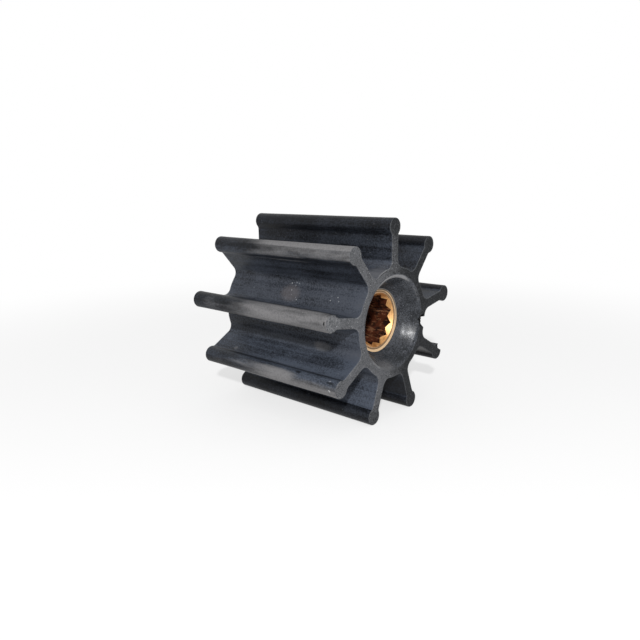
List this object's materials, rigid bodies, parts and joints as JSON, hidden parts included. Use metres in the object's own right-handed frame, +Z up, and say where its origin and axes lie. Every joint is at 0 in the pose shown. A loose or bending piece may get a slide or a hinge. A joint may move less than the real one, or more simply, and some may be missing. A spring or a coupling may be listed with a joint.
{
  "type": "pump impeller",
  "caption": "Flexible rubber pump impeller with straight beaded vanes around a dished hub, bonded on a brass insert with a splined bore.",
  "frame": {"origin": "on the impeller's axis, in the middle of the splined bore's length", "axes": "+Y along the impeller's axis, -Y out of the front end, +Z up through the top vane"},
  "size_m": [0.0936, 0.087, 0.0924],
  "materials": {
    "rubber": "satin moulded rubber with scuffed beads",
    "brass": "machined"
  },
  "bodies": {
    "root": {"rubber_body": "rubber", "splined_insert": "brass"}
  },
  "joints": []
}
